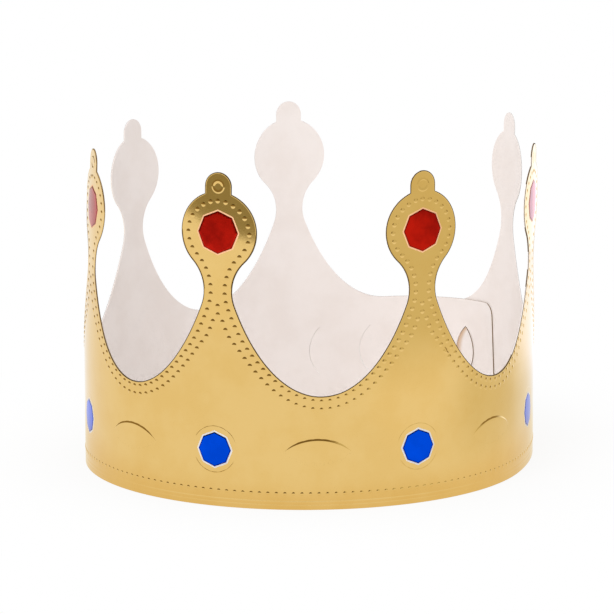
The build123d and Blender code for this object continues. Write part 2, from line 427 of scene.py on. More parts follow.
def resampled(path: list[Flat], count: int) -> list[Flat]:
    """Places at even spacing along a line of places, its ends kept."""
    lengths = [0.0]
    for first, second in zip(path, path[1:]):
        lengths.append(lengths[-1] + hypot(second[0] - first[0], second[1] - first[1]))
    places, run = [], 0
    for step in range(count + 1):
        wanted = lengths[-1] * step / count
        while run < len(path) - 2 and lengths[run + 1] < wanted:
            run += 1
        share = (wanted - lengths[run]) / max(lengths[run + 1] - lengths[run], 1e-9)
        places.append((mix(path[run][0], path[run + 1][0], share), mix(path[run][1], path[run + 1][1], share)))
    return places


def path_length(path: list[Flat]) -> float:
    """The length of a line of places."""
    return sum(hypot(b[0] - a[0], b[1] - a[1]) for a, b in zip(path, path[1:]))


def bead(
    bm: bmesh.types.BMesh, path: list[Flat], width: float, height: float, closed: bool, taper: float = 0.0
) -> None:
    """Raise a soft ridge on the gilt face along a flat line.

    Args:
        bm: the flat mesh to add to.
        path: places as (along, height), the last one not repeated where closed.
        width: how wide the ridge is.
        height: how far it stands out.
        closed: whether the line runs round to its start.
        taper: how much of each open end fades out.
    """
    count = len(path)
    across = 6
    spans = count if closed else count - 1

    def place(column: int, row: int) -> Vector:
        """The place of a corner of the ridge."""
        here = path[column % count]
        ahead = path[(column + 1) % count] if closed else path[min(column + 1, count - 1)]
        behind = path[(column - 1) % count] if closed else path[max(column - 1, 0)]
        run = Vector((ahead[0] - behind[0], ahead[1] - behind[1])).normalized()
        share = 2 * row / across - 1
        end = 1.0
        if taper:
            end = smooth(min(column, spans - column) / max(spans * taper, 1e-6)) * 0.9 + 0.1
        lift = (1 + cos(pi * share)) / 2 * height * end
        reach = width / 2 * share * (0.4 + 0.6 * end)
        return Vector((here[0] - run.y * reach, 0.02 - lift, here[1] + run.x * reach))

    verts = shaped_grid(bm, spans, across, place)
    if closed:
        bmesh.ops.remove_doubles(bm, verts=verts, dist=1e-4)


def rolled_edge(bm: bmesh.types.BMesh, path: list[Flat], profile: tuple[Flat, ...], slot: int) -> None:
    """Roll the gilt face over along a cut edge.

    Args:
        bm: the flat mesh to add to.
        path: places along the cut edge, with the card to the right of the way it runs.
        profile: how far in from the edge, and how deep, each line of the roll lies.
        slot: the material slot of the roll.
    """
    last = len(path) - 1
    before = len(bm.faces)

    def place(column: int, row: int) -> Vector:
        """The place of a corner of the roll."""
        here, ahead, behind = path[column], path[min(column + 1, last)], path[max(column - 1, 0)]
        run = Vector((ahead[0] - behind[0], ahead[1] - behind[1])).normalized()
        inset, depth = profile[row]
        return Vector((here[0] + run.y * inset, depth, here[1] - run.x * inset))

    shaped_grid(bm, last, len(profile) - 1, place)
    bm.faces.ensure_lookup_table()
    for face in bm.faces[before:]:
        face.material_index = slot


def outward_faces(bm: bmesh.types.BMesh) -> None:
    """Turn the faces of flat raised shapes so that they look out of the gilt face."""
    bm.normal_update()
    wrong = [face for face in bm.faces if face.normal.y > 0]
    bmesh.ops.reverse_faces(bm, faces=wrong)


# ---------------------------------------------------------------- finishes


class NodeBench:
    """Adds and links the nodes of one tree."""

    def __init__(self, tree: bpy.types.NodeTree) -> None:
        """Take a tree and empty it."""
        self.tree = tree
        tree.nodes.clear()
        self.column = 0

    def add(self, kind: str, values: dict | None = None, **settings: object) -> bpy.types.Node:
        """Add a node.

        Args:
            kind: the node's type.
            values: input socket to a number, colour or an output socket to link.
            settings: the node's own settings.

        Returns:
            The node.
        """
        node = self.tree.nodes.new(kind)
        node.location = (self.column * 190, -40 * (self.column % 7))
        self.column += 1
        for name, value in settings.items():
            setattr(node, name, value)
        for name, value in (values or {}).items():
            socket = node.inputs[name]
            if isinstance(value, bpy.types.NodeSocket):
                self.tree.links.new(value, socket)
            else:
                socket.default_value = value
        return node

    def math(self, operation: str, first: object, second: object = 0.0) -> bpy.types.NodeSocket:
        """A sum of two numbers or sockets."""
        return self.add("ShaderNodeMath", {0: first, 1: second}, operation=operation).outputs[0]

    def product(self, first: object, *others: object) -> bpy.types.NodeSocket:
        """Numbers or sockets multiplied together."""
        for other in others:
            first = self.math("MULTIPLY", first, other)
        return first

    def ramp(self, source: object, low: float, high: float, to_low: float = 0.0, to_high: float = 1.0
             ) -> bpy.types.NodeSocket:
        """A number mapped from one range to another, held at its ends."""
        values = {"Value": source, "From Min": low, "From Max": high, "To Min": to_low, "To Max": to_high}
        return self.add("ShaderNodeMapRange", values, clamp=True, interpolation_type="SMOOTHSTEP").outputs[0]

    def blend(self, share: object, first: object, second: object) -> bpy.types.NodeSocket:
        """Two colours mixed by a share."""
        node = self.add("ShaderNodeMix", data_type="RGBA")
        for index, value in ((0, share), (6, first), (7, second)):
            if isinstance(value, bpy.types.NodeSocket):
                self.tree.links.new(value, node.inputs[index])
            else:
                node.inputs[index].default_value = value
        return node.outputs[2]


def linear(red: int, green: int, blue: int) -> tuple[float, float, float, float]:
    """A colour of 0 to 255 steps as Blender's linear values."""
    values = []
    for step in (red, green, blue):
        share = step / 255
        values.append(share / 12.92 if share <= 0.04045 else ((share + 0.055) / 1.055) ** 2.4)
    return (*values, 1.0)


def sheet_grain() -> bpy.types.NodeTree:
    """The group for a pressed sheet: soft waves and a fine tooth, as heights and as a mask.

    Returns:
        A group with inputs Wave Scale and Tooth Scale, and outputs Wave, Tooth and Mask.
    """
    name = "sheet_grain"
    if name in bpy.data.node_groups:
        return bpy.data.node_groups[name]
    group = bpy.data.node_groups.new(name, "ShaderNodeTree")
    for label in ("Wave Scale", "Tooth Scale"):
        group.interface.new_socket(label, in_out="INPUT", socket_type="NodeSocketFloat")
    for label in ("Wave", "Tooth", "Mask"):
        group.interface.new_socket(label, in_out="OUTPUT", socket_type="NodeSocketFloat")
    bench = NodeBench(group)
    given = bench.add("NodeGroupInput").outputs
    place = bench.add("ShaderNodeTexCoord").outputs["Object"]

    def noise(scale: object, detail: float, roughness: float) -> bpy.types.NodeSocket:
        """A cloud of noise in the piece's own space."""
        values = {"Vector": place, "Scale": scale, "Detail": detail, "Roughness": roughness}
        return bench.add("ShaderNodeTexNoise", values).outputs["Fac"]

    bench.add("NodeGroupOutput", {
        "Wave": noise(given["Wave Scale"], 2.0, 0.45), "Tooth": noise(given["Tooth Scale"], 3.0, 0.6),
        "Mask": bench.ramp(noise(60.0, 4.0, 0.6), 0.35, 0.68)})
    return group


@dataclass(frozen=True)
class Finish:
    """What every finish of the crown has: two close tones in patches and a fine relief in metres."""

    name: str
    light: Steps = (230, 194, 121)
    deep: Steps = (227, 189, 113)
    roughness: float = 0.45
    spread: float = 0.0
    metallic: float = 0.0
    specular: float = 0.5
    coat: float = 0.0
    coat_roughness: float = 0.05
    wave_scale: float = 60.0
    tooth_scale: float = 1500.0
    wave_depth: float = 0.00003
    tooth_depth: float = 0.000004

    def tone(self, bench: NodeBench, grain: bpy.types.Node) -> bpy.types.NodeSocket:
        """The colour over the surface."""
        return bench.blend(grain.outputs["Mask"], linear(*self.light), linear(*self.deep))

    def rough(self, bench: NodeBench, grain: bpy.types.Node) -> bpy.types.NodeSocket:
        """The roughness over the surface."""
        return bench.ramp(grain.outputs["Mask"], 0.0, 1.0, self.roughness, self.roughness + self.spread)

    def build(self) -> bpy.types.Material:
        """Make the finish's material."""
        material = bpy.data.materials.new(self.name)
        material.use_nodes = True
        bench = NodeBench(material.node_tree)
        scales = {"Wave Scale": self.wave_scale, "Tooth Scale": self.tooth_scale}
        grain = bench.add("ShaderNodeGroup", scales, node_tree=sheet_grain())
        waves = bench.add("ShaderNodeBump", {
            "Height": grain.outputs["Wave"], "Distance": self.wave_depth, "Strength": 1.0})
        teeth = bench.add("ShaderNodeBump", {
            "Height": grain.outputs["Tooth"], "Distance": self.tooth_depth, "Strength": 1.0,
            "Normal": waves.outputs[0]})
        shader = bench.add("ShaderNodeBsdfPrincipled", {
            "Base Color": self.tone(bench, grain), "Roughness": self.rough(bench, grain),
            "Metallic": self.metallic, "Specular IOR Level": self.specular, "Coat Weight": self.coat,
            "Coat Roughness": self.coat_roughness, "Normal": teeth.outputs[0]})
        bench.add("ShaderNodeOutputMaterial", {"Surface": shader.outputs[0]})
        return material


@dataclass(frozen=True)
class GiltFoil(Finish):
    """The gold-coloured metal face laminated to the card."""

    roughness: float = 0.035
    spread: float = 0.015
    metallic: float = 1.0
    coat: float = 0.15
    wave_scale: float = 17.0
    tooth_scale: float = 1300.0
    wave_depth: float = 0.00005
    tooth_depth: float = 0.0000008


@dataclass(frozen=True)
class PlainBoard(Finish):
    """The uncoated inside of the card, painted tan where the "fold" attribute marks the outer tongue's root:
    painted shade and gold reflection beside the tab's cut.
    """

    light: Steps = (238, 230, 226)
    deep: Steps = (234, 225, 220)
    root_shade: Steps = (212, 182, 154)
    roughness: float = 0.62
    spread: float = 0.18
    specular: float = 0.25
    wave_scale: float = 30.0
    tooth_scale: float = 1600.0
    wave_depth: float = 0.00012
    tooth_depth: float = 0.000012

    def tone(self, bench: NodeBench, grain: bpy.types.Node) -> bpy.types.NodeSocket:
        """The board's colour, with the painted shade at the tongue's root."""
        fold = bench.add("ShaderNodeAttribute", attribute_name="fold").outputs["Fac"]
        return bench.blend(fold, super().tone(bench, grain), linear(*self.root_shade))

    def rough(self, bench: NodeBench, grain: bpy.types.Node) -> bpy.types.NodeSocket:
        """The board's roughness, which follows its tooth."""
        return bench.ramp(grain.outputs["Tooth"], 0.3, 0.7, self.roughness, self.roughness + self.spread)


@dataclass(frozen=True)
class ShadedCutEdge(Finish):
    """The die-cut edge of the card, its pale core darkened to brown as painted shade, the tone that edges
    facing away from the lamp read as.
    """

    light: Steps = (134, 112, 84)
    deep: Steps = (116, 95, 69)
    roughness: float = 0.75
    specular: float = 0.1
    tooth_scale: float = 2200.0
    wave_depth: float = 0.00004
    tooth_depth: float = 0.00003


@dataclass(frozen=True)
class ColouredFoil(Finish):
    """The tinted metal foil of a gem."""

    light: Steps = (208, 32, 20)
    deep: Steps = (154, 20, 14)
    roughness: float = 0.1
    spread: float = 0.04
    metallic: float = 1.0
    wave_scale: float = 45.0
    wave_depth: float = 0.00005
    tooth_depth: float = 0.000003


@dataclass(frozen=True)
class PressedLine(Finish):
    """The pale pressed line round a gem, where the foil is bruised matt."""

    light: Steps = (252, 198, 152)
    deep: Steps = (242, 182, 138)
    metallic: float = 0.25


def built(finish: Finish) -> bpy.types.Material:
    """A field that holds a finish's material."""
    return field(default_factory=finish.build)


@dataclass
class Finishes:
    """Every material of the crown, built once."""

    gilt: bpy.types.Material = built(GiltFoil("gilt_foil"))
    board: bpy.types.Material = built(PlainBoard("bare_board"))
    # The cut edge's brown is painted shade; edges that read bright carry the board's pale tone instead.
    edge: bpy.types.Material = built(ShadedCutEdge("cut_edge"))
    # A darker copy for the lip rolled over the gilt's cut edge: painted shade and dark reflection.
    cut: bpy.types.Material = built(ShadedCutEdge("shaded_cut_lip", (78, 61, 31), (62, 48, 24)))
    red: bpy.types.Material = built(ColouredFoil("red_foil"))
    # Darker copies of the gem foils for each octagon's sloped rim: painted shade along its edges.
    red_edge_shade: bpy.types.Material = built(ColouredFoil("red_foil_edge_shade", (150, 22, 8), (120, 16, 6), 0.2))
    blue: bpy.types.Material = built(ColouredFoil("blue_foil", (0, 76, 224), (0, 68, 206)))
    blue_edge_shade: bpy.types.Material = built(ColouredFoil("blue_foil_edge_shade", (0, 44, 158), (0, 36, 140), 0.16))
    red_rim: bpy.types.Material = built(PressedLine("red_gem_rim"))
    blue_rim: bpy.types.Material = built(PressedLine("blue_gem_rim", (230, 226, 224), (216, 212, 214)))


# ---------------------------------------------------------------- the card


@dataclass
class CardStrip:
    """The one strip of card: seven points, the outer end and the tab that steps inside it."""

    plan: StripPlan
    shape: PointShape
    card: float = 0.4
    layer_gap: float = 0.1
    columns: int = 24
    groove_heights: tuple[float, ...] = (2.1, 3.6)
    groove_half: float = 0.4
    groove_depth: float = 0.05
    tab_length: float = 99.9
    tab_slant: float = 0.06
    tab_top_rise: float = 2.4
    tab_low_rise: float = 2.1
    tab_corner: float = 5.8
    tab_step_start: float = 2.0
    tab_step_end: float = 8.0
    outer_end_corner: float = 2.0
    left_facing: float = -0.25
    back_pale_from: float = 0.047

    def band_rows(self) -> list[tuple[float, float]]:
        """Height and pressed depth of each row of the band below the points."""
        rows = [(0.0, 0.0), (1.0, 0.0)]
        for middle in self.groove_heights:
            for step in (-1.0, -0.5, 0.0, 0.5, 1.0):
                rows.append((middle + step * self.groove_half, self.groove_depth * (1 - abs(step))))
        rows += [(height, 0.0) for height in (7.0, 12.0, 17.0, 22.0, 27.0, 32.0, 37.0, 41.0)]
        return rows + [(self.shape.scallop_low, 0.0)]

    def add_point(self, bm: bmesh.types.BMesh, index: int) -> None:
        """Lay out one point with its stretch of band."""
        middle = self.plan.first_to(index)
        rows = [(self.shape.cell_half, height, depth) for height, depth in self.band_rows()]
        rows += [(max(wide, 0.02), height, 0.0) for wide, height in self.shape.outline()[1:]]

        def place(column: int, row: int) -> Vector:
            """The flat place of a corner of the point."""
            wide, height, depth = rows[row]
            share = 2 * column / self.columns - 1
            return Vector((middle + wide * share, depth, height))

        shaped_grid(bm, self.columns, len(rows) - 1, place)

    def end_piece(
        self, bm: bmesh.types.BMesh, start: float, end: float, corner: float, rise: Flat, columns: int,
        slant: float = 0.0
    ) -> None:
        """Lay out an end of the strip with rounded corners.

        Args:
            bm: the flat mesh.
            start: where it leaves the points.
            end: its free end.
            corner: the radius of its corners.
            rise: how far its lower and upper edges rise towards the free end.
            columns: how many faces it is long.
            slant: how far the foot of its free end stands out, per millimetre of height.
        """
        rows = self.band_rows()
        length = abs(end - start)
        way = 1 if end > start else -1
        straight = [(length - corner) * step / columns for step in range(columns)]
        rounded = [length - corner + corner * sin(pi / 2 * step / 8) for step in range(9)]
        runs = straight + rounded
        top = self.shape.scallop_low

        def place(column: int, row: int) -> Vector:
            """The flat place of a corner of the end."""
            run = runs[column]
            past = max(run - (length - corner), 0.0)
            cut = corner - sqrt(max(corner**2 - past**2, 0.0))
            low = rise[0] * run / length + cut
            high = top + rise[1] * run / length - cut
            height, depth = rows[row]
            reach = run * (1 + slant * (top - height) / length)
            return Vector((start + way * reach, depth, low + (high - low) * height / top))

        shaped_grid(bm, len(runs) - 1, len(rows) - 1, place)

    def flat_sheet(self) -> bmesh.types.BMesh:
        """The whole strip laid flat, with its thickness."""
        bm = bmesh.new()
        for index in range(self.plan.points):
            self.add_point(bm, index)
        first, last = self.plan.first_to(0), self.plan.first_to(self.plan.points - 1)
        half = self.shape.cell_half
        self.end_piece(bm, first - half, first - self.tab_length, self.tab_corner,
                       (self.tab_low_rise, self.tab_top_rise), 20, self.tab_slant)
        self.end_piece(bm, last + half, last + self.plan.outer_end, self.outer_end_corner, (0.0, 0.0), 2)
        bmesh.ops.remove_doubles(bm, verts=bm.verts[:], dist=0.005)
        thicken(bm, self.card)
        return bm

    def step_in(self, bm: bmesh.types.BMesh) -> None:
        """Step the tab in behind the outer end."""
        for vert in bm.verts:
            if vert.co.x < self.tab_step_end:
                run = (self.tab_step_end - vert.co.x) / (self.tab_step_end - self.tab_step_start)
                vert.co.y += (self.card + self.layer_gap) * smooth(run)

    def dress(self, bm: bmesh.types.BMesh) -> None:
        """Give each flat face its slot by the way it looks, and the mesh its flat map."""
        layer = bm.loops.layers.uv.verify()
        bm.normal_update()
        for face in bm.faces:
            look = face.normal.y
            face.material_index = (Face.GILT if look < -0.5 else Face.BOARD if look > 0.5 else Face.EDGE).value
            for loop in face.loops:
                loop[layer].uv = (loop.vert.co.x * MM, loop.vert.co.z * MM)

    def paint_lit_edges(self, bm: bmesh.types.BMesh) -> None:
        """Give the bent card's left-facing edges and its back points the board's pale tone: painted light on
        the edges that read bright, while the rest keep the cut edge's painted shade.
        """
        repaint(bm, Face.BOARD.value, lambda face, place: face.material_index == Face.EDGE.value and (
            face.normal.x < self.left_facing or place.y > 0 and place.z > self.back_pale_from))


@dataclass
class Lock:
    """The crescent slits and the eye where the two ends hook through each other."""

    plan: StripPlan
    strip: CardStrip
    slit_width: float = 0.1
    slit_half: float = 10.2
    slit_bulge: float = 4.6
    slit_height: float = 21.9
    slit_places: tuple[float, ...] = (-13.3, -35.4, -57.7)
    eye_place: float = -80.6
    eye_height: float = 23.8
    eye_half: float = 10.7
    eye_bulge: float = 5.35
    clearance: float = 0.15

    @staticmethod
    def arc_bulge(half: float, bulge: float, height: float) -> float:
        """How far an upright arc stands out at a height from its middle."""
        radius = (half**2 + bulge**2) / (2 * bulge)
        return sqrt(max(radius**2 - height**2, 0.0)) - (radius - bulge)

    def eye_along(self) -> float:
        """The place of the eye on the inner end."""
        return self.plan.first_to(0) + self.eye_place

    def pale_edge(self, face: bmesh.types.BMFace, place: Vector) -> bool:
        """Whether a flat face is the cut edge beside the outer tongue's root, which keeps the board's pale tone
        as painted light instead of the cut edge's painted shade.
        """
        beside = 0 < place.x - self.eye_along() < self.eye_bulge + 1.15
        return face.material_index == Face.EDGE.value and beside and (
            abs(place.z - self.eye_height) < self.eye_half)

    def cutters(self) -> bpy.types.Object:
        """The blades of the slits and of both eyes, as one mesh."""
        bm = bmesh.new()
        for offset in self.slit_places:
            along = self.plan.first_to(0) + offset

            def slit(column: int, row: int) -> Vector:
                """The flat place of a corner of a slit's blade."""
                height = self.slit_half * (row / 12 - 1)
                bulge = self.arc_bulge(self.slit_half, self.slit_bulge, height)
                return Vector((along + bulge - self.slit_width * column, -1.0, self.slit_height + height))

            shaped_grid(bm, 1, 24, slit)
        for along in (self.eye_along(), self.eye_along() + self.plan.loop()):

            def eye(column: int, row: int) -> Vector:
                """The flat place of a corner of an eye's blade."""
                height = self.eye_half * (row / 14 - 1)
                bulge = max(self.arc_bulge(self.eye_half, self.eye_bulge, height), 0.004)
                return Vector((along + bulge * (2 * column - 1), -1.0, self.eye_height + height))

            shaped_grid(bm, 1, 28, eye)
        thicken(bm, 3.0)
        return linked("lock_blades", mesh_of("lock_blades", bm))

    def cut(self, bm: bmesh.types.BMesh) -> bmesh.types.BMesh:
        """Cut the slits and eyes out of the flat sheet.

        Args:
            bm: the flat sheet, which is freed.

        Returns:
            The cut sheet.
        """
        sheet = linked("flat_sheet", mesh_of("flat_sheet", bm))
        blades = self.cutters()
        boolean = sheet.modifiers.new("lock", "BOOLEAN")
        boolean.operation = "DIFFERENCE"
        boolean.solver = "EXACT"
        boolean.object = blades
        depsgraph = bpy.context.evaluated_depsgraph_get()
        result = bpy.data.meshes.new_from_object(sheet.evaluated_get(depsgraph))
        cut = bmesh.new()
        cut.from_mesh(result)
        for item in (sheet, blades):
            old = item.data
            bpy.data.objects.remove(item)
            bpy.data.meshes.remove(old)
        bpy.data.meshes.remove(result)
        return cut

    def tongue(self, name: str, side: Side, root_depth: float, free_depth: float,
               finishes: Finishes) -> bpy.types.Object:
        """One crescent tongue, rooted in its own layer and resting past the other.

        Args:
            name: the piece's name.
            side: the side that it is rooted on.
            root_depth: how deep its gilt face lies at the root.
            free_depth: how deep it lies at its free edge.
            finishes: the crown's materials.

        Returns:
            The tongue.
        """
        bm = bmesh.new()
        along = self.eye_along()
        half = self.eye_half - 3 * self.clearance
        bulge = self.eye_bulge - self.clearance

        def place(column: int, row: int) -> Vector:
            """The flat place of a corner of the tongue."""
            height = half * (row / 14 - 1)
            wide = max(self.arc_bulge(half, bulge, height), 0.01)
            share = 2 * column / 12 - 1
            root = max(side.value * share, 0.0) ** 8 * 0.35 * wide / bulge
            return Vector((along + wide * share + side.value * root, 0.0, self.eye_height + height))

        shaped_grid(bm, 12, 28, place)
        thicken(bm, self.strip.card)
        self.strip.dress(bm)
        # The "fold" attribute marks where the outer tongue's board face is painted tan: painted shade and gold
        # reflection beside its root.
        fold = bm.verts.layers.float.new("fold")
        for vert in bm.verts:
            reach = max(self.arc_bulge(half, bulge, vert.co.z - self.eye_height), 0.3)
            if side is Side.RIGHT:
                vert[fold] = smooth((vert.co.x - along - reach + 3.2) / 2.8)
            share = 0.5 - side.value * (vert.co.x - along) / (2 * 3.9)
            vert.co.y += root_depth + (free_depth - root_depth) * smooth(share)
        self.plan.bend_mesh(bm)
        bmesh.ops.recalc_face_normals(bm, faces=bm.faces[:])
        return finish_piece(name, bm, [finishes.gilt, finishes.board, finishes.edge])


@dataclass
class CardBand:
    """Builds the cut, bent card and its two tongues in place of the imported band."""

    plan: StripPlan
    shape: PointShape
    finishes: Finishes

    def build(self) -> list[bpy.types.Object]:
        """Build the card's pieces."""
        strip = CardStrip(self.plan, self.shape)
        lock = Lock(self.plan, strip)
        bm = lock.cut(strip.flat_sheet())
        strip.dress(bm)
        # Painted light: the cut edge beside the outer tongue's root keeps the board's pale tone.
        repaint(bm, Face.BOARD.value, lock.pale_edge)
        crowded = [face for face in bm.faces if len(face.verts) > 4]
        bmesh.ops.triangulate(bm, faces=crowded)
        strip.step_in(bm)
        self.plan.bend_mesh(bm)
        # Painted light: left-facing edges and those of the back points take the board's pale tone.
        strip.paint_lit_edges(bm)
        materials = [self.finishes.gilt, self.finishes.board, self.finishes.edge]
        band = finish_piece("gilt_band", bm, materials)
        inset = strip.card + strip.layer_gap
        outer = lock.tongue("outer_tongue", Side.RIGHT, 0.0, 2 * inset, self.finishes)
        inner = lock.tongue("inner_tongue", Side.LEFT, inset, -inset, self.finishes)
        return [band, outer, inner]


# ---------------------------------------------------------------- pressed work


@dataclass
class PressedDots:
    """The beaded rows along the cut edge, round the heads and above the rim."""

    plan: StripPlan
    shape: PointShape
    radius: float = 1.0
    height: float = 0.18
    rim_size: float = 0.8
    spacing: float = 3.25
    rim_spacing: float = 3.31
    rim_row: float = 6.25
    scallop_inset: float = 1.85
    neck_inset: float = 3.0
    head_inset: float = 2.95
    head_top_inset: float = 3.65
    second_inset: float = 5.0
    front_index: int = 3
    front_faint: float = 0.2

    def template(self) -> bpy.types.Mesh:
        """One dot: a low bell of a few dozen faces whose foot sinks into the card."""
        bm = bmesh.new()
        profile = ((1.0, -0.15), (0.88, 0.2), (0.66, 0.58), (0.36, 0.88))
        rings = [
            bmesh.ops.create_circle(bm, segments=10, radius=self.radius * wide)["verts"]
            for wide, _ in profile
        ]
        for (_, high), ring in zip(profile, rings):
            bmesh.ops.translate(bm, verts=ring, vec=(0, 0, high * self.height))
        for lower, upper in zip(rings, rings[1:]):
            edges = [edge for edge in bm.edges if all(vert in lower for vert in edge.verts)
                     or all(vert in upper for vert in edge.verts)]
            bmesh.ops.bridge_loops(bm, edges=edges)
        top = [edge for edge in bm.edges if all(vert in rings[-1] for vert in edge.verts)]
        cap = bmesh.ops.contextual_create(bm, geom=top)["faces"]
        bmesh.ops.poke(bm, faces=cap, offset=0.12 * self.height)
        bmesh.ops.rotate(bm, verts=bm.verts[:], matrix=Matrix.Rotation(radians(90), 3, "X"))
        outward_faces(bm)
        return mesh_of("dot_template", bm)

    def inset_path(self, places: list[Flat], inset: Callable[[float], float]) -> list[Flat]:
        """A line inside the outline, at an inset that changes with height.

        Args:
            places: half-widths and heights of the outline, upwards.
            inset: gives the inset at a height.

        Returns:
            The inner line.
        """
        inner = []
        for index, (wide, high) in enumerate(places):
            ahead = places[min(index + 1, len(places) - 1)]
            behind = places[max(index - 1, 0)]
            run = Vector((ahead[0] - behind[0], ahead[1] - behind[1])).normalized()
            step = inset(high)
            inner.append((wide - run.y * step, high + run.x * step))
        return inner

    def size_at(self, along: float, height: float) -> float:
        """How large a dot is, against those of the necks and heads; faint in the front scallop."""
        if height < self.rim_row + 2:
            return self.rim_size
        front = self.plan.first_to(self.front_index) + self.shape.cell_half
        faint = smooth(1.4 - abs(along - front) / 20) * smooth((56 - height) / 10)
        return 1 - self.front_faint * faint

    def first_inset(self, height: float) -> float:
        """The inset of the row beside the edge."""
        up = mix(self.scallop_inset, self.neck_inset, smooth((height - 52) / 18))
        head = mix(self.head_inset, self.head_top_inset, min(max((height - 106) / 14, 0.0), 1.0))
        return mix(up, head, smooth((height - 88) / 8))

    def first_row(self) -> list[Flat]:
        """Half of the row beside the edge, from the top of the head down to the scallop."""
        places = self.shape.scallop(40) + self.shape.neck(10) + self.shape.head(40, to_top=True)
        inner = self.inset_path(places, self.first_inset)[::-1]
        inner[-1] = (self.shape.cell_half, inner[-1][1])
        return resampled(inner, round(path_length(inner) / self.spacing))

    def second_row(self) -> list[Flat]:
        """Half of the inner row, from the middle of the neck's foot down to the scallop."""
        places = [place for place in self.shape.scallop(40) if place[1] < 64]
        inner = self.inset_path(places, lambda height: mix(self.second_inset, 5.7, smooth((height - 54) / 12)))
        inner[0] = (self.shape.cell_half, inner[0][1])
        path = [(0.0, 78.6), (0.0, 75.4), (2.0, 72.6), (3.2, 69.5), (4.6, 66.6)]
        path += [place for place in inner[::-1] if place[1] < 64.0]
        return resampled(path, round(path_length(path) / self.spacing))

    def places(self) -> list[Flat]:
        """Every dot's place on the flat strip."""
        dots: list[Flat] = []
        for index in range(self.plan.points):
            middle = self.plan.first_to(index)
            for row in (self.first_row(), self.second_row()):
                for wide, high in row:
                    if wide > self.shape.cell_half - 0.5:
                        dots.append((middle + wide, high))
                        if index == 0:
                            dots.append((middle - wide, high))
                        continue
                    dots.append((middle + wide, high))
                    if wide > 0.3:
                        dots.append((middle - wide, high))
        start, end = 3.4, self.plan.first_to(self.plan.points - 1) + self.plan.outer_end - 1.6
        count = int((end - start) / self.rim_spacing)
        dots += [(start + self.rim_spacing * step, self.rim_row) for step in range(count + 1)]
        low = self.shape.scallop_low
        along = self.plan.first_to(0) - self.shape.cell_half - self.spacing
        while along > 3.0:
            for inset in (self.scallop_inset, self.second_inset):
                dots.append((along, low - inset + 0.04 * (26 - along)))
            along -= self.spacing
        return [(along, high) for along, high in dots if along < end + 0.5]

    def build(self, finishes: Finishes) -> bpy.types.Object:
        """Press every dot and join them in one piece."""
        template = self.template()
        bm = bmesh.new()
        for along, high in self.places():
            before = len(bm.verts)
            bm.from_mesh(template)
            bm.verts.ensure_lookup_table()
            size = self.size_at(along, high)
            for vert in bm.verts[before:]:
                vert.co = vert.co * size + Vector((along, 0.0, high))
        self.plan.bend_mesh(bm)
        bpy.data.meshes.remove(template)
        return finish_piece("pressed_dots", bm, [finishes.gilt], radians(80))


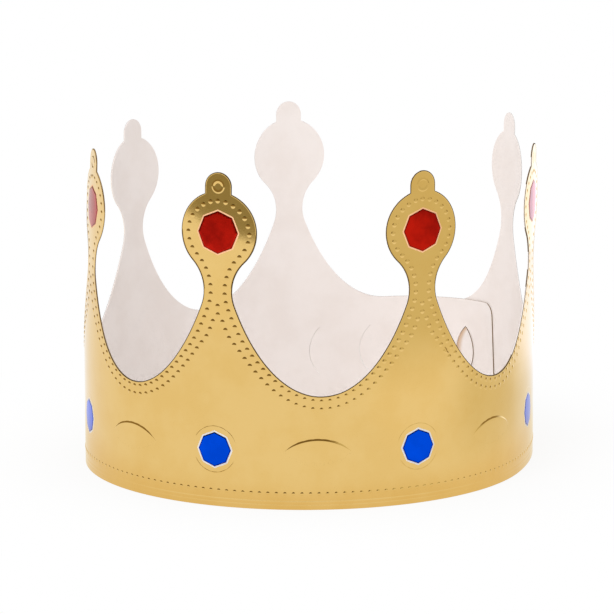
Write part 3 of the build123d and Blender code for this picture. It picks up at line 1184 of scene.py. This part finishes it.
@dataclass
class PressedOrnaments:
    """The rings and marquises on the band and the buttons on the tips."""

    plan: StripPlan
    shape: PointShape
    ridge: float = 0.5
    height: float = 0.2
    ring_relief: float = 0.05
    ring_radius: float = 9.1
    marquise_half_length: float = 13.6
    marquise_half_height: float = 4.9
    lid_drop: float = 0.8
    gilt_roll: tuple[Flat, ...] = ((0.55, 0.01), (0.47, -0.03), (0.4, -0.06), (0.31, -0.07))
    cut_roll: tuple[Flat, ...] = ((0.32, -0.07), (0.15, -0.055), (0.0, -0.01), (-0.02, 0.08))
    marquise_height: float = 22.3
    crease_width: float = 1.5
    crease_relief: float = 0.36
    creased_index: int = 4
    crease_place: Flat = (11.3, 58.7)
    creases: tuple[tuple[Flat, ...], ...] = (
        ((-0.6, 1.5), (-0.2, 0.4), (0.15, -0.6), (0.7, -1.0), (1.4, -1.3)),
        ((-1.0, -0.2), (-0.5, -0.3), (-0.1, -0.45), (0.15, -0.6)))
    gilt_left_of: float = -0.076
    gilt_lip_from: float = 0.06

    def ring(self, bm: bmesh.types.BMesh, along: float) -> None:
        """Press a ring round a blue gem."""
        turns = [2 * pi * step / 64 for step in range(64)]
        path = [(along + self.ring_radius * cos(turn), self.plan.ornament_height + self.ring_radius * sin(turn))
                for turn in turns]
        bead(bm, path, self.ridge, self.ring_relief, True)

    def cut_edge(self) -> list[Flat]:
        """The whole upper cut edge, from beside the lock round to the outer end."""
        low = self.shape.scallop_low
        path = [(self.plan.first_to(0) - self.shape.cell_half - step, low) for step in (18.0, 12.0, 6.0)]
        outline = self.shape.outline()
        for index in range(self.plan.points):
            middle = self.plan.first_to(index)
            path += [(middle - wide, high) for wide, high in outline]
            path += [(middle + wide, high) for wide, high in outline[-2:0:-1]]
        last = self.plan.first_to(self.plan.points - 1)
        return path + [(last + self.shape.cell_half, low), (last + self.plan.outer_end - 2.0, low)]

    def marquise(self, bm: bmesh.types.BMesh, along: float) -> None:
        """Press a pointed oval between two gems, raised towards a sharp upper lip."""
        half, rise = self.marquise_half_length, self.marquise_half_height
        radius = (half**2 + rise**2) / (2 * rise)
        levels = [step / 10 for step in range(11)]

        def place(column: int, row: int) -> Vector:
            """The flat place of a corner of the oval."""
            run = half * (column / 24 - 1)
            bulge = sqrt(radius**2 - run**2) - (radius - rise)
            full = smooth(bulge / rise * 1.3)
            if row > 10:
                step = (row - 10) / 4
                lift = self.height * full * (1 + cos(pi * step)) / 2
                high = bulge + self.lid_drop * full * step
                return Vector((along + run, 0.015 - lift, self.marquise_height + high))
            level = levels[row]
            lift = self.height * full * level**1.5
            return Vector((along + run, 0.015 - lift, self.marquise_height + bulge * (2 * level - 1)))

        shaped_grid(bm, 48, 14, place)
        runs = [half * 0.93 * (step / 20 - 1) for step in range(41)]
        lower = [(along + run, self.marquise_height - sqrt(radius**2 - run**2) + radius - rise) for run in runs]
        bead(bm, lower, 0.7, 0.02, False, 0.25)

    def button(self, bm: bmesh.types.BMesh, along: float) -> None:
        """Press a round button: a raised ring round a flat, spun from its profile."""
        profile = ((0.0, 0.03), (1.2, 0.03), (1.8, 0.035), (1.95, 0.08), (2.1, 0.11), (2.3, 0.1),
                   (2.6, 0.03), (2.8, -0.02))
        verts = [bm.verts.new((wide, -high, 0.0)) for wide, high in profile]
        edges = [bm.edges.new(pair) for pair in zip(verts, verts[1:])]
        bmesh.ops.spin(bm, geom=verts + edges, cent=(0, 0, 0), axis=(0, 1, 0), angle=2 * pi, steps=28,
                       use_merge=True, use_duplicate=False)
        fresh = [vert for vert in bm.verts if hypot(vert.co.x, vert.co.z) < 4.0 and vert.co.x < 5.0]
        bmesh.ops.remove_doubles(bm, verts=fresh, dist=1e-4)
        fresh = [vert for vert in bm.verts if hypot(vert.co.x, vert.co.z) < 4.0]
        bmesh.ops.translate(bm, verts=fresh, vec=(along, 0, self.shape.tip_height))

    def crease(self, bm: bmesh.types.BMesh) -> None:
        """Fold the small worn crease beside the dots at the foot of one point."""
        along, height = self.plan.first_to(self.creased_index) + self.crease_place[0], self.crease_place[1]
        for fold in self.creases:
            path = [(along + x, height + z) for x, z in fold]
            bead(bm, path, self.crease_width, self.crease_relief, False, 0.2)

    def build(self, finishes: Finishes) -> bpy.types.Object:
        """Press every ornament and join them in one piece."""
        bm = bmesh.new()
        self.crease(bm)
        for index in range(self.plan.points):
            self.button(bm, self.plan.first_to(index))
        for index in range(self.plan.points):
            middle = self.plan.first_to(index) + self.plan.ornament_shift
            self.ring(bm, middle)
            if index < self.plan.points - 1:
                self.marquise(bm, middle + self.shape.cell_half)
        outward_faces(bm)
        rolled_edge(bm, self.cut_edge(), self.gilt_roll, 0)
        # The outer roll over the cut edge takes the dark lip finish, which is painted shade and dark
        # reflection.
        rolled_edge(bm, self.cut_edge(), self.cut_roll, 1)
        self.plan.bend_mesh(bm)
        # On the far-left point the lip takes the gilt instead: painted light where that edge reads bright.
        repaint(bm, 0, lambda face, place: place.x < self.gilt_left_of and place.z > self.gilt_lip_from)
        return finish_piece("pressed_ornaments", bm, [finishes.gilt, finishes.cut], radians(80))


# ---------------------------------------------------------------- the gems


@dataclass
class FoilGem:
    """One foil octagon, stuck flat on the card with one corner up."""

    plan: StripPlan
    along: float
    height: float
    radius: float
    foil: float = 0.15
    rim_width: float = 0.88
    rim_offset: float = 0.28
    edge_width: float = 0.42
    edge_drop: float = 0.09

    def outline(self, radius: float, steps: int = 6) -> list[Flat]:
        """Places round the octagon on the flat card, some on each side."""
        places = []
        for step in range(8 * steps):
            side, share = step // steps, step % steps / steps
            first, second = pi / 4 * side, pi / 4 * (side + 1)
            places.append((self.along + radius * mix(sin(first), sin(second), share),
                           self.height + radius * mix(cos(first), cos(second), share)))
        return places

    def build(self, name: str, node: str, slot: str, materials: list[bpy.types.Material]) -> bpy.types.Object:
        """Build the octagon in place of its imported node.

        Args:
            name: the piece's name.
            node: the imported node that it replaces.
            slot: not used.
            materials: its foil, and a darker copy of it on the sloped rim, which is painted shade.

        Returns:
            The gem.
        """
        bm = bmesh.new()
        disc = bmesh.ops.create_circle(bm, cap_ends=True, cap_tris=False, segments=8, radius=self.radius)
        bmesh.ops.rotate(bm, verts=disc["verts"], matrix=Matrix.Rotation(pi / 4, 3, "Z"))
        bmesh.ops.inset_region(
            bm, faces=bm.faces[:], thickness=self.edge_width, use_even_offset=True, use_boundary=True)
        # The sloped rim takes the darker copy of the foil in slot 1: painted shade.
        for face in bm.faces:
            face.material_index = int(any(vert.is_boundary for vert in face.verts))
        for vert in bm.verts:
            drop = self.edge_drop if vert.is_boundary else 0.0
            vert.co = Vector((vert.co.x, drop, vert.co.y))
        for step in range(-11, 12):
            cut = self.radius * step / 12
            for normal in ((1, 0, 0), (0, 0, 1)):
                point = (cut, 0, 0) if normal[0] else (0, 0, cut)
                bmesh.ops.bisect_plane(bm, geom=bm.verts[:] + bm.edges[:] + bm.faces[:], dist=1e-4,
                                       plane_co=point, plane_no=normal)
        extruded = bmesh.ops.extrude_face_region(bm, geom=bm.faces[:], use_keep_orig=True)["geom"]
        moved = [item for item in extruded if isinstance(item, bmesh.types.BMVert)]
        bmesh.ops.translate(bm, verts=moved, vec=(0, -self.foil, 0))
        bmesh.ops.recalc_face_normals(bm, faces=bm.faces[:])
        bmesh.ops.translate(bm, verts=bm.verts[:], vec=(self.along, 0, self.height))
        self.plan.bend_mesh(bm)
        piece = finish_piece(name, bm, materials, radians(40))
        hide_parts(node)
        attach(piece, "root")
        return piece

    def add_rim(self, bm: bmesh.types.BMesh, slot: int) -> None:
        """Raise the fine pale line pressed round the octagon."""
        before = len(bm.faces)
        bead(bm, self.outline(self.radius + self.rim_offset), self.rim_width, 0.08, True)
        bm.faces.ensure_lookup_table()
        for face in bm.faces[before:]:
            face.material_index = slot


@dataclass
class GemSet:
    """The red gems in the heads and the blue ones on the band."""

    plan: StripPlan
    shape: PointShape
    red_radius: float = 8.25
    blue_radius: float = 6.8

    def build(self, finishes: Finishes) -> list[bpy.types.Object]:
        """Build the fourteen gems and their pressed outlines."""
        pieces = []
        rims = bmesh.new()
        for index in range(self.plan.points):
            middle = self.plan.first_to(index)
            red = FoilGem(self.plan, middle, self.shape.head_height, self.red_radius)
            below = middle + self.plan.ornament_shift
            blue = FoilGem(self.plan, below, self.plan.ornament_height, self.blue_radius)
            dressed = (("red", red, [finishes.red, finishes.red_edge_shade]),
                       ("blue", blue, [finishes.blue, finishes.blue_edge_shade]))
            for slot, (colour, gem, materials) in enumerate(dressed):
                pieces.append(gem.build(f"{colour}_octagon_{index + 1}", f"{colour}_gem_{index + 1}",
                                        f"{colour}_foil", materials))
                gem.add_rim(rims, slot)
        outward_faces(rims)
        self.plan.bend_mesh(rims)
        outline = finish_piece("gem_outlines", rims, [finishes.red_rim, finishes.blue_rim], radians(80))
        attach(outline, "root")
        return [*pieces, outline]


# ---------------------------------------------------------------- the studio


@dataclass
class Studio:
    """The camera, the pale floor and the soft light."""

    camera_place: tuple[float, float, float] = (-0.00115, -1.654, 0.389)
    pitch_down: float = 0.1965
    roll: float = -0.003
    lens: float = 244.18
    floor_radius: float = 0.48
    white: Tone = (1.0, 1.0, 1.0, 1.0)
    table_tone: Tone = (0.92, 0.92, 0.92, 1.0)
    corner_tone: Tone = (1.02, 1.01, 0.99, 1.0)
    foot_tone: Tone = (0.94, 0.86, 0.69, 1.0)
    beyond_tone: Tone = (1.22, 1.27, 1.46, 1.0)
    buff_tone: Tone = (0.79, 0.76, 0.6, 1.0)
    pale_tone: Tone = (1.03, 1.03, 1.01, 1.0)
    cool_tone: Tone = (1.32, 1.42, 1.62, 1.0)
    sky_tone: Tone = (1.2, 1.2, 1.2, 1.0)
    room_tone: Tone = (0.91, 0.91, 0.91, 1.0)
    wall_tone: Tone = (0.72, 0.69, 0.53, 1.0)
    wall_foot_tone: Tone = (0.34, 0.315, 0.21, 1.0)
    wall_middle_tone: Tone = (0.29, 0.22, 0.1, 1.0)
    wall_top_tone: Tone = (0.03, 0.022, 0.01, 1.0)
    wall_side_tone: Tone = (0.33, 0.245, 0.11, 1.0)

    def camera(self) -> None:
        """Set the camera at the photograph's viewing angle."""
        data = bpy.data.cameras.new("camera")
        data.lens = self.lens
        data.sensor_width = 36.0
        data.clip_end = 20.0
        camera = linked("camera", data)
        turn = Matrix.Rotation(pi / 2 - self.pitch_down, 4, "X") @ Matrix.Rotation(self.roll, 4, "Z")
        camera.matrix_world = Matrix.Translation(self.camera_place) @ turn
        bpy.context.scene.camera = camera

    def floor(self) -> bpy.types.Object:
        """Lay a round white table top that fades into the white around it."""
        bm = bmesh.new()
        bmesh.ops.create_circle(bm, cap_ends=True, segments=96, radius=self.floor_radius)
        bmesh.ops.translate(bm, verts=bm.verts[:], vec=(0, 0, -0.0001))
        floor = linked("floor", mesh_of("floor", bm))
        material = bpy.data.materials.new("white_table")
        material.use_nodes = True
        bench = NodeBench(material.node_tree)
        place = bench.add("ShaderNodeTexCoord").outputs["Object"]
        away = bench.add("ShaderNodeVectorMath", {0: place}, operation="LENGTH").outputs["Value"]
        fade = bench.ramp(away, 0.09, 0.2, 0.87, 1.0)
        rays = bench.add("ShaderNodeLightPath").outputs
        seen = bench.math("MAXIMUM", rays["Is Camera Ray"], rays["Is Glossy Ray"])
        seen = bench.math("MAXIMUM", seen, rays["Is Transmission Ray"])
        share = bench.product(fade, seen)
        # For glossy rays only the table carries patches of tone that the gilt reflects: painted reflections,
        # and at the crown's foot a warm darker tone that is painted shade and gold reflection.
        x, y, _ = bench.add("ShaderNodeSeparateXYZ", {0: place}).outputs
        beyond = bench.product(bench.ramp(x, 0.04, 0.14), bench.ramp(y, 0.03, 0.2), bench.ramp(away, 0.12, 0.3))
        far_side = bench.product(bench.ramp(away, 0.27, 0.44), bench.ramp(x, 0.0, 0.12))
        near_side = bench.product(bench.ramp(x, 0.07, 0.2), bench.ramp(y, -0.13, -0.04), 0.6)
        beside = bench.math("MAXIMUM", far_side, near_side)
        corner = bench.product(bench.ramp(x, 0.08, 0.15), bench.ramp(y, -0.11, -0.16))
        foot = bench.ramp(away, 0.10, 0.15, 1.0, 0.0)
        tone = self.white
        for part, colour in ((corner, self.corner_tone), (beside, self.buff_tone),
                             (beyond, self.beyond_tone), (foot, self.foot_tone)):
            tone = bench.blend(bench.product(part, rays["Is Glossy Ray"]), tone, colour)
        matt = bench.add("ShaderNodeBsdfDiffuse", {"Color": self.table_tone}).outputs[0]
        glow = bench.add("ShaderNodeEmission", {"Color": tone, "Strength": 1.0}).outputs[0]
        both = bench.add("ShaderNodeMixShader", {0: share, 1: matt, 2: glow}).outputs[0]
        bench.add("ShaderNodeOutputMaterial", {"Surface": both})
        floor.data.materials.append(material)
        return floor

    def world(self) -> None:
        """Light the crown from a pale room that darkens at the height of a shaded wall."""
        world = bpy.data.worlds.new("studio_room")
        bpy.context.scene.world = world
        world.use_nodes = True
        bench = NodeBench(world.node_tree)
        way = bench.add("ShaderNodeTexCoord").outputs["Generated"]
        x, y, z = bench.add("ShaderNodeSeparateXYZ", {0: way}).outputs
        turn = bench.math("ARCTAN2", x, bench.math("MULTIPLY", y, -1.0))
        right = bench.math("MINIMUM", bench.ramp(turn, 0.1, 0.65), bench.ramp(turn, 1.6, 2.5, 1.0, 0.0))
        low = bench.blend(right, self.pale_tone, self.buff_tone)
        low = bench.blend(bench.ramp(turn, 2.2, 2.6), low, self.cool_tone)
        wall = bench.add("ShaderNodeMapRange", {"Value": turn, "From Min": -1.3, "From Max": 0.3,
                                                "To Min": -0.112, "To Max": -0.130}).outputs[0]
        above = bench.ramp(bench.math("SUBTRACT", z, wall), -0.0002, 0.0008)
        side = bench.math("MINIMUM", bench.ramp(turn, 0.3, 0.6), bench.ramp(turn, 1.35, 1.65, 1.0, 0.08))
        side = bench.math("MAXIMUM", side, bench.ramp(turn, -2.7, -3.1))
        shade = self.wall_foot_tone
        for part, colour in ((bench.ramp(z, -0.1, 0.0), self.wall_middle_tone),
                             (bench.ramp(z, 0.28, 0.5), self.wall_top_tone),
                             (bench.ramp(bench.math("ABSOLUTE", turn), 1.1, 1.6), self.wall_side_tone),
                             (side, self.wall_tone), (bench.ramp(turn, 2.0, 2.35), self.cool_tone),
                             (bench.ramp(z, 0.74, 0.9), self.sky_tone)):
            shade = bench.blend(part, shade, colour)
        rays = bench.add("ShaderNodeLightPath").outputs
        soft = bench.blend(rays["Is Glossy Ray"], self.room_tone, bench.blend(above, low, shade))
        seen = bench.math("MAXIMUM", rays["Is Camera Ray"], rays["Is Transmission Ray"])
        colour = bench.blend(seen, soft, self.white)
        background = bench.add("ShaderNodeBackground", {"Color": colour, "Strength": 1.0}).outputs[0]
        bench.add("ShaderNodeOutputWorld", {"Surface": background})

    def lamp(self, name: str, place: tuple[float, float, float], size: float, watts: float) -> None:
        """Hang one soft square lamp that looks at the crown."""
        data = bpy.data.lights.new(name, "AREA")
        data.shape = "SQUARE"
        data.size = size
        data.energy = watts
        lamp = linked(name, data)
        look = Vector((0, 0, 0.06)) - Vector(place)
        lamp.matrix_world = Matrix.Translation(place) @ look.to_track_quat("-Z", "Y").to_matrix().to_4x4()
        lamp.visible_glossy = False
        lamp.visible_camera = False

    def build(self) -> None:
        """Build the studio."""
        self.camera()
        self.floor()
        self.world()
        self.lamp("key", (-0.75, -1.45, 1.25), 1.1, 14.5)
        view = bpy.context.scene.view_settings
        view.view_transform = "Standard"


def main() -> None:
    """Build the crown and its studio in order."""
    logging.basicConfig(level=logging.INFO, format="%(name)s: %(message)s")
    plan, shape = StripPlan(), PointShape()
    Studio().build()
    finishes = Finishes()
    pieces = CardBand(plan, shape, finishes).build()
    for piece in pieces:
        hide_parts("crown_band")
    pressed = [PressedDots(plan, shape).build(finishes), PressedOrnaments(plan, shape).build(finishes)]
    for piece in (*pieces, *pressed):
        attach(piece, "root")
    gems = GemSet(plan, shape).build(finishes)
    for piece in (*pieces, *pressed, *gems):
        log.info("%s: %d faces", piece.name, len(piece.data.polygons))


if __name__ == "__main__":
    main()
